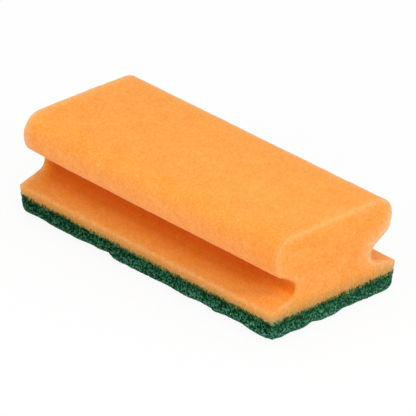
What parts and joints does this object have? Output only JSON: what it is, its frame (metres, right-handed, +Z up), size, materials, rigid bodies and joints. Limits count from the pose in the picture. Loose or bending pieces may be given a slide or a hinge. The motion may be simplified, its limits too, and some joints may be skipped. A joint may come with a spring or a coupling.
{
  "type": "cleaning sponge",
  "caption": "Cleaning sponge of cut foam with a finger groove along each side, bonded to a wavy-edged scouring pad.",
  "frame": {"origin": "centre of the scouring pad's underside, on the surface that the sponge rests on", "axes": "+X along the sponge, +Y across it, +Z up from the pad to the foam's top face"},
  "size_m": [0.152, 0.0698, 0.045],
  "materials": {
    "foam": "fine open-cell polyurethane foam, orange",
    "scouring_fleece": "coarse non-woven abrasive fleece, dark green"
  },
  "bodies": {
    "root": {"foam_body": "foam", "scouring_pad": "scouring_fleece"}
  },
  "joints": []
}
